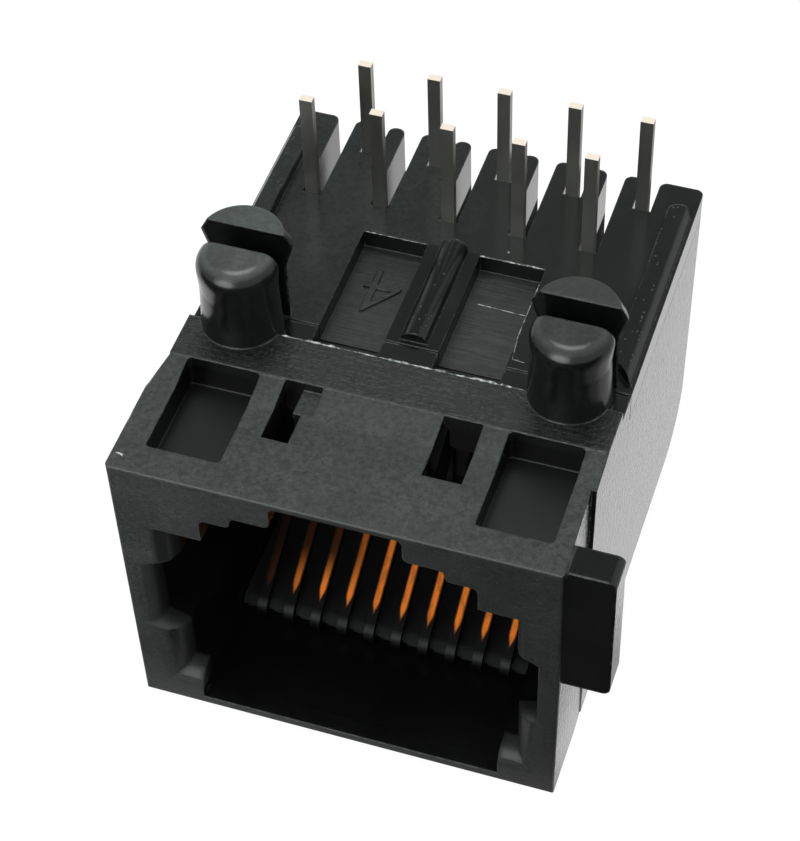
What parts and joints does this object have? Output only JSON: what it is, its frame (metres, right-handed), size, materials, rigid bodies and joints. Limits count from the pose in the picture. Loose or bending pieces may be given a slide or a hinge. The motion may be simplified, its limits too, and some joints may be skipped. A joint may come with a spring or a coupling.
{
  "type": "pcb modular jack",
  "caption": "Low-profile side-entry modular jack for a circuit board, with split snap pegs, staggered solder tails and sprung contacts.",
  "frame": {"origin": "middle of the cover's outer face, on which the jack rests as pictured", "axes": "+Z the way the solder tails and pegs point, the mouth opens to -Y, the side ear is on +X"},
  "size_m": [0.017, 0.0182, 0.0166],
  "materials": {
    "housing_plastic": "fine moulded matt",
    "insert_plastic": "satin, spark-eroded in the shallow trays",
    "contact_metal": "gold-flashed spring strip, duller on the tails"
  },
  "bodies": {
    "root": {"housing": "housing_plastic", "contact_insert": "insert_plastic", "contact_01": "contact_metal", "contact_02": "contact_metal", "contact_03": "contact_metal", "contact_04": "contact_metal", "contact_05": "contact_metal", "contact_06": "contact_metal", "contact_07": "contact_metal", "contact_08": "contact_metal", "contact_09": "contact_metal", "contact_10": "contact_metal"}
  },
  "joints": []
}
